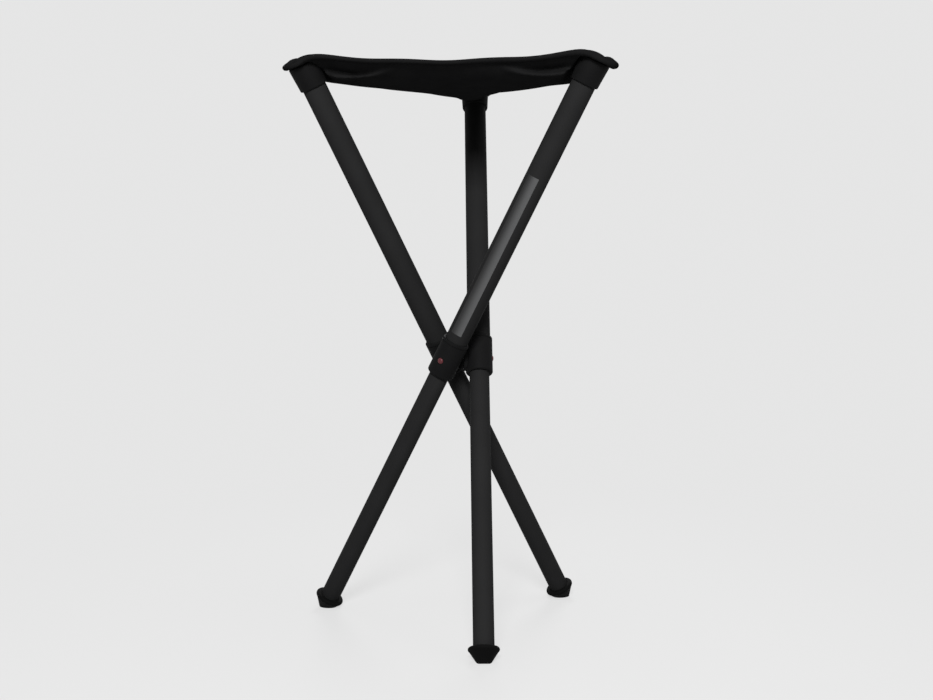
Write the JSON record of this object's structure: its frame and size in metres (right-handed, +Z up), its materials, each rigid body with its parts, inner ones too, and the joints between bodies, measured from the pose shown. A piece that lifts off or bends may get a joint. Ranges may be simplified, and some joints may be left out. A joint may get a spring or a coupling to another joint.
{
  "type": "telescopic tripod stool",
  "caption": "Folding tripod stool: crossing telescopic legs on a pivoting hub, push-button leg locks, rubber feet and a sagging triangular cloth seat.",
  "frame": {"origin": "on the floor, on the hub's axis, midway between the three feet", "axes": "+Z up along the hub's axis; leg C leans towards +Y at its top and its pivot points along +X"},
  "size_m": [0.3395, 0.3594, 0.6058],
  "materials": {
    "black_tube": "satin black coating",
    "black_plastic": "fine moulded texture",
    "black_rubber": "matte",
    "red_plastic": "smooth",
    "nylon": "smooth",
    "steel": "plain",
    "black_cloth": "plain woven, tight",
    "black_tape": "woven tape"
  },
  "bodies": {
    "hub": {"hub_core": "black_plastic", "pivot_screw_a": "steel", "pivot_screw_b": "steel", "pivot_screw_c": "steel", "seat_cloth": "black_cloth", "seat_binding": "black_tape"},
    "upper_leg_a": {"upper_tube_a": "black_tube", "top_cap_a": "black_plastic", "corner_plug_a": "black_plastic", "sleeve_a": "black_plastic"},
    "lower_leg_a": {"lower_tube_a": "black_tube", "guide_bush_a": "nylon", "lock_clip_a": "steel", "foot_a": "black_rubber"},
    "button_a": {"release_button_a": "red_plastic"},
    "upper_leg_b": {"upper_tube_b": "black_tube", "top_cap_b": "black_plastic", "corner_plug_b": "black_plastic", "sleeve_b": "black_plastic"},
    "lower_leg_b": {"lower_tube_b": "black_tube", "guide_bush_b": "nylon", "lock_clip_b": "steel", "foot_b": "black_rubber"},
    "button_b": {"release_button_b": "red_plastic"},
    "upper_leg_c": {"upper_tube_c": "black_tube", "top_cap_c": "black_plastic", "corner_plug_c": "black_plastic", "sleeve_c": "black_plastic"},
    "lower_leg_c": {"lower_tube_c": "black_tube", "guide_bush_c": "nylon", "lock_clip_c": "steel", "foot_c": "black_rubber"},
    "button_c": {"release_button_c": "red_plastic"}
  },
  "joints": [
    {"name": "fold_a", "type": "hinge", "parent": "hub", "child": "upper_leg_a", "pos_m": [-0.0117, 0.02026, 0.28759], "axis": [-0.5, 0.866, 0], "range_deg": [0, 29], "deforming": ["seat_cloth", "seat_binding"]},
    {"name": "fold_b", "type": "hinge", "parent": "hub", "child": "upper_leg_b", "pos_m": [-0.0117, -0.02026, 0.28759], "axis": [-0.5, -0.866, 0], "range_deg": [0, 29]},
    {"name": "fold_c", "type": "hinge", "parent": "hub", "child": "upper_leg_c", "pos_m": [0.0234, 0, 0.28759], "axis": [1, 0, 0], "range_deg": [0, 29]},
    {"name": "telescope_a", "type": "slide", "parent": "upper_leg_a", "child": "lower_leg_a", "axis": [-0.4199, -0.2424, 0.8746], "range_m": [0, 0.29], "deforming": ["lock_clip_a"]},
    {"name": "telescope_b", "type": "slide", "parent": "upper_leg_b", "child": "lower_leg_b", "axis": [0.4199, -0.2424, 0.8746], "range_m": [0, 0.29], "deforming": ["lock_clip_b"]},
    {"name": "telescope_c", "type": "slide", "parent": "upper_leg_c", "child": "lower_leg_c", "axis": [0, 0.4848, 0.8746], "range_m": [0, 0.29], "deforming": ["lock_clip_c"]},
    {"name": "press_a", "type": "slide", "parent": "upper_leg_a", "child": "button_a", "axis": [0.5, -0.866, 0], "range_m": [0, 0.0015], "stiffness_N_per_m": 2000, "springref_m": -0.001, "deforming": ["lock_clip_a"]},
    {"name": "press_b", "type": "slide", "parent": "upper_leg_b", "child": "button_b", "axis": [0.5, 0.866, 0], "range_m": [0, 0.0015], "stiffness_N_per_m": 2000, "springref_m": -0.001, "deforming": ["lock_clip_b"]},
    {"name": "press_c", "type": "slide", "parent": "upper_leg_c", "child": "button_c", "axis": [-1, 0, 0], "range_m": [0, 0.0015], "stiffness_N_per_m": 2000, "springref_m": -0.001, "deforming": ["lock_clip_c"]}
  ],
  "couplings": [
    {"joint": "fold_b", "follows": "fold_a", "ratio": 1},
    {"joint": "fold_c", "follows": "fold_a", "ratio": 1}
  ]
}
